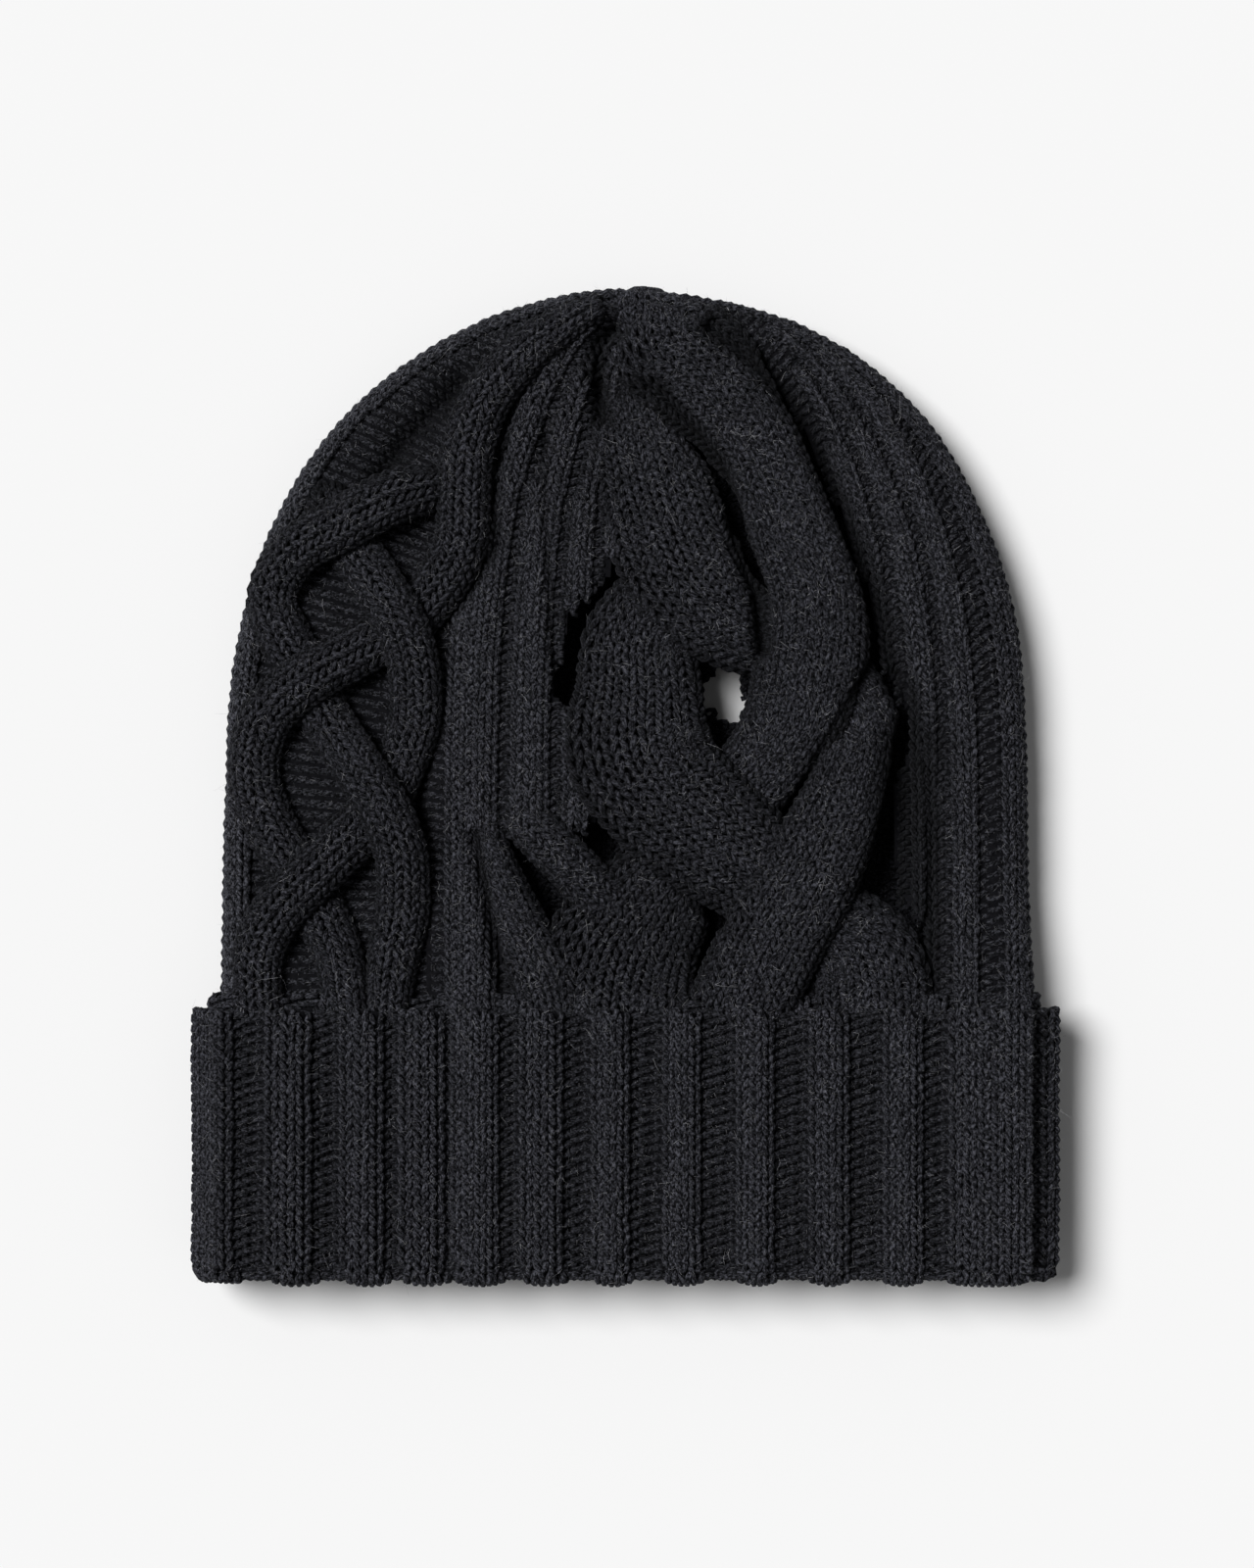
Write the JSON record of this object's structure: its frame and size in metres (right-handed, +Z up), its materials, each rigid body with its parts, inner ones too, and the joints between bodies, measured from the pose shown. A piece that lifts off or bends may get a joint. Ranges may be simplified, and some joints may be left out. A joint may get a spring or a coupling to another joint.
{
  "type": "knit beanie",
  "caption": "Flat-laid knit beanie with a turned-up rib cuff that unfolds, a rope plait on the left and an open three-band plait in the middle.",
  "frame": {"origin": "on the surface the hat lies on, under the middle of its bounding box", "axes": "+Z up out of the hat's front face, +Y towards the crown, +X towards the right of the front face as seen"},
  "size_m": [0.2228, 0.2538, 0.026],
  "materials": {
    "rib_wool": "matte rib knit in black wool",
    "plain_wool": "matte stockinette in black wool",
    "cable_wool": "matte cable strands in black wool",
    "ground_wool": "matte purl ground in black wool"
  },
  "bodies": {
    "hat": {"left_cable_ground": "ground_wool", "left_rib_panel": "rib_wool", "right_rib_panel": "rib_wool", "back_panel": "rib_wool", "plait_strand_outer": "cable_wool", "plait_strand_middle": "cable_wool", "plait_strand_inner": "cable_wool", "braid_band_outer": "plain_wool", "braid_band_right": "plain_wool", "braid_band_left": "plain_wool", "side_strip": "plain_wool", "narrow_strand": "cable_wool", "crown_gather": "plain_wool", "gather_yarn": "cable_wool", "inner_band_front": "rib_wool", "inner_band_back": "rib_wool", "back_seam": "cable_wool", "fold_front": "rib_wool", "fold_back": "rib_wool", "fold_left": "rib_wool", "fold_right": "rib_wool"},
    "cuff_front": {"cuff_front": "rib_wool"},
    "cuff_left_upper": {"cuff_left_upper": "rib_wool"},
    "cuff_left_side": {"cuff_left_side": "rib_wool"},
    "cuff_left_lower": {"cuff_left_lower": "rib_wool"},
    "cuff_right_upper": {"cuff_right_upper": "rib_wool"},
    "cuff_right_side": {"cuff_right_side": "rib_wool"},
    "cuff_right_lower": {"cuff_right_lower": "rib_wool"},
    "cuff_back": {"cuff_back": "rib_wool"}
  },
  "joints": [
    {"name": "cuff_front_fold", "type": "hinge", "parent": "hat", "child": "cuff_front", "pos_m": [0, -0.1245, 0.0237], "axis": [1, 0, 0], "range_deg": [0, 180]},
    {"name": "cuff_left_upper_fold", "type": "hinge", "parent": "hat", "child": "cuff_left_upper", "pos_m": [-0.10597, -0.1245, 0.02057], "axis": [0.7071, 0, 0.7071], "range_deg": [0, 180]},
    {"name": "cuff_left_side_fold", "type": "hinge", "parent": "hat", "child": "cuff_left_side", "pos_m": [-0.1091, -0.1245, 0.013], "axis": [0, 0, 1], "range_deg": [0, 180]},
    {"name": "cuff_left_lower_fold", "type": "hinge", "parent": "hat", "child": "cuff_left_lower", "pos_m": [-0.10597, -0.1245, 0.00543], "axis": [-0.7071, 0, 0.7071], "range_deg": [0, 180]},
    {"name": "cuff_right_upper_fold", "type": "hinge", "parent": "hat", "child": "cuff_right_upper", "pos_m": [0.10597, -0.1245, 0.02057], "axis": [0.7071, 0, -0.7071], "range_deg": [0, 180]},
    {"name": "cuff_right_side_fold", "type": "hinge", "parent": "hat", "child": "cuff_right_side", "pos_m": [0.1091, -0.1245, 0.013], "axis": [0, 0, -1], "range_deg": [0, 180]},
    {"name": "cuff_right_lower_fold", "type": "hinge", "parent": "hat", "child": "cuff_right_lower", "pos_m": [0.10597, -0.1245, 0.00543], "axis": [-0.7071, 0, -0.7071], "range_deg": [0, 180]},
    {"name": "cuff_back_fold", "type": "hinge", "parent": "hat", "child": "cuff_back", "pos_m": [0, -0.1245, 0.0023], "axis": [-1, 0, 0], "range_deg": [0, 180]}
  ],
  "couplings": [
    {"joint": "cuff_left_upper_fold", "follows": "cuff_front_fold", "ratio": 1},
    {"joint": "cuff_left_side_fold", "follows": "cuff_front_fold", "ratio": 1},
    {"joint": "cuff_left_lower_fold", "follows": "cuff_front_fold", "ratio": 1},
    {"joint": "cuff_right_upper_fold", "follows": "cuff_front_fold", "ratio": 1},
    {"joint": "cuff_right_side_fold", "follows": "cuff_front_fold", "ratio": 1},
    {"joint": "cuff_right_lower_fold", "follows": "cuff_front_fold", "ratio": 1},
    {"joint": "cuff_back_fold", "follows": "cuff_front_fold", "ratio": 1}
  ]
}
